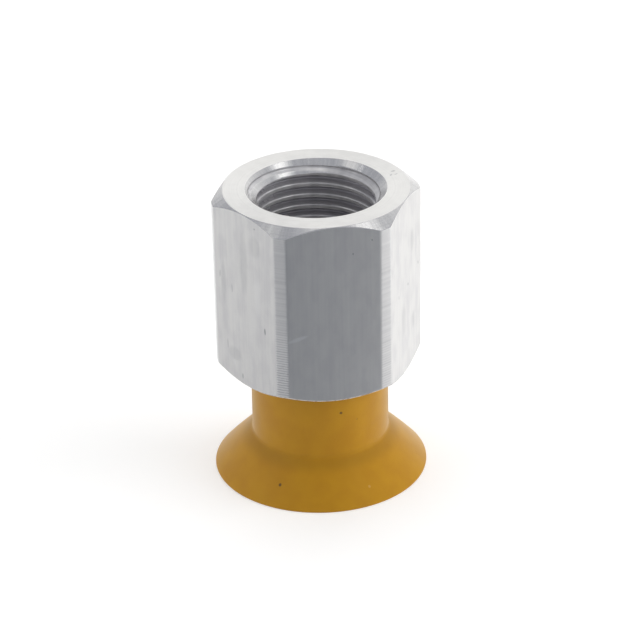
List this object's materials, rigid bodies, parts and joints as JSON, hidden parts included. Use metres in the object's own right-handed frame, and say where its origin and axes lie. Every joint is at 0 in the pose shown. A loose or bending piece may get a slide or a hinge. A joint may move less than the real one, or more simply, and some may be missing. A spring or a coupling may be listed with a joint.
{
  "type": "flat vacuum pad",
  "caption": "Flat round vacuum pad: a soft moulded lip pressed over the barbed spigot of a hexagonal aluminium connector with a female pipe-thread port on top.",
  "frame": {"origin": "on the pad's axis in the plane that the lip seals on, which is the bottom of the bounding box", "axes": "+Z along the axis from the lip towards the threaded port; two of the hexagon's flats face along +Y and -Y, and two of its corners point along +X and -X"},
  "size_m": [0.0164, 0.0164, 0.0232],
  "materials": {
    "turned_aluminium": "drawn hexagon flats, turned corners, chamfers and end faces, satin",
    "moulded_elastomer": "matte moulded ochre elastomer"
  },
  "bodies": {
    "connector": {"hex_connector": "turned_aluminium"},
    "pad": {"suction_pad": "moulded_elastomer"}
  },
  "joints": [
    {"name": "lip_stroke", "type": "slide", "parent": "connector", "child": "pad", "axis": [0, 0, 1], "range_m": [0, 0.001], "stiffness_N_per_m": 3500, "deforming": ["suction_pad"]}
  ]
}
